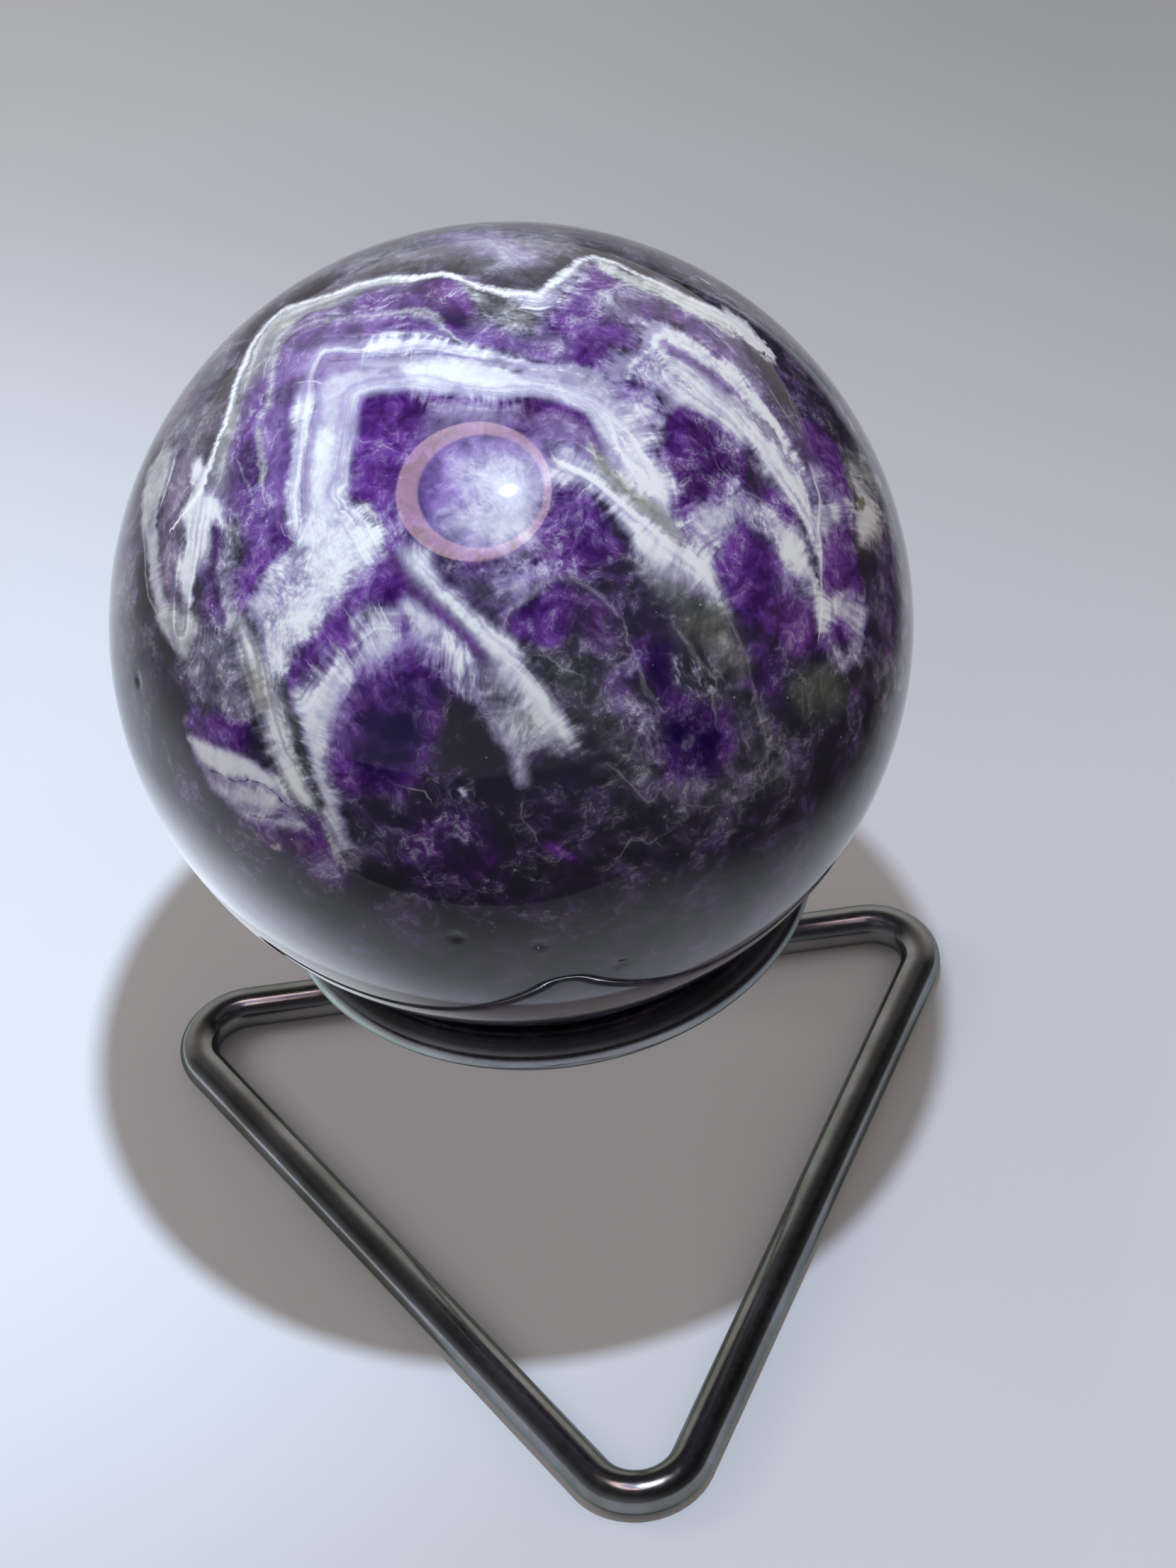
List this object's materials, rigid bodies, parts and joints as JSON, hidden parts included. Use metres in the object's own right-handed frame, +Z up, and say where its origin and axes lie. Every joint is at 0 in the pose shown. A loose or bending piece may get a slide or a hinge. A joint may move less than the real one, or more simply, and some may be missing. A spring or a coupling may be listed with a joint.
{
  "type": "polished amethyst sphere on a wire stand",
  "caption": "Polished ball of banded amethyst resting in the ring of a small stand bent from round gunmetal rod, with a triangular base.",
  "frame": {"origin": "on the table, under the middle of the whole object's box", "axes": "+Z up; -Y towards the front corner of the triangular base, so the upright and the base's straight rear side are at +Y"},
  "size_m": [0.068, 0.069, 0.0902],
  "materials": {
    "amethyst": "polished, clear dark quartz with violet and white zones inside",
    "gunmetal": "polished gunmetal plating"
  },
  "bodies": {
    "root": {"amethyst_sphere": "amethyst", "stand_ring": "gunmetal", "stand_upright": "gunmetal", "stand_base": "gunmetal"}
  },
  "joints": []
}
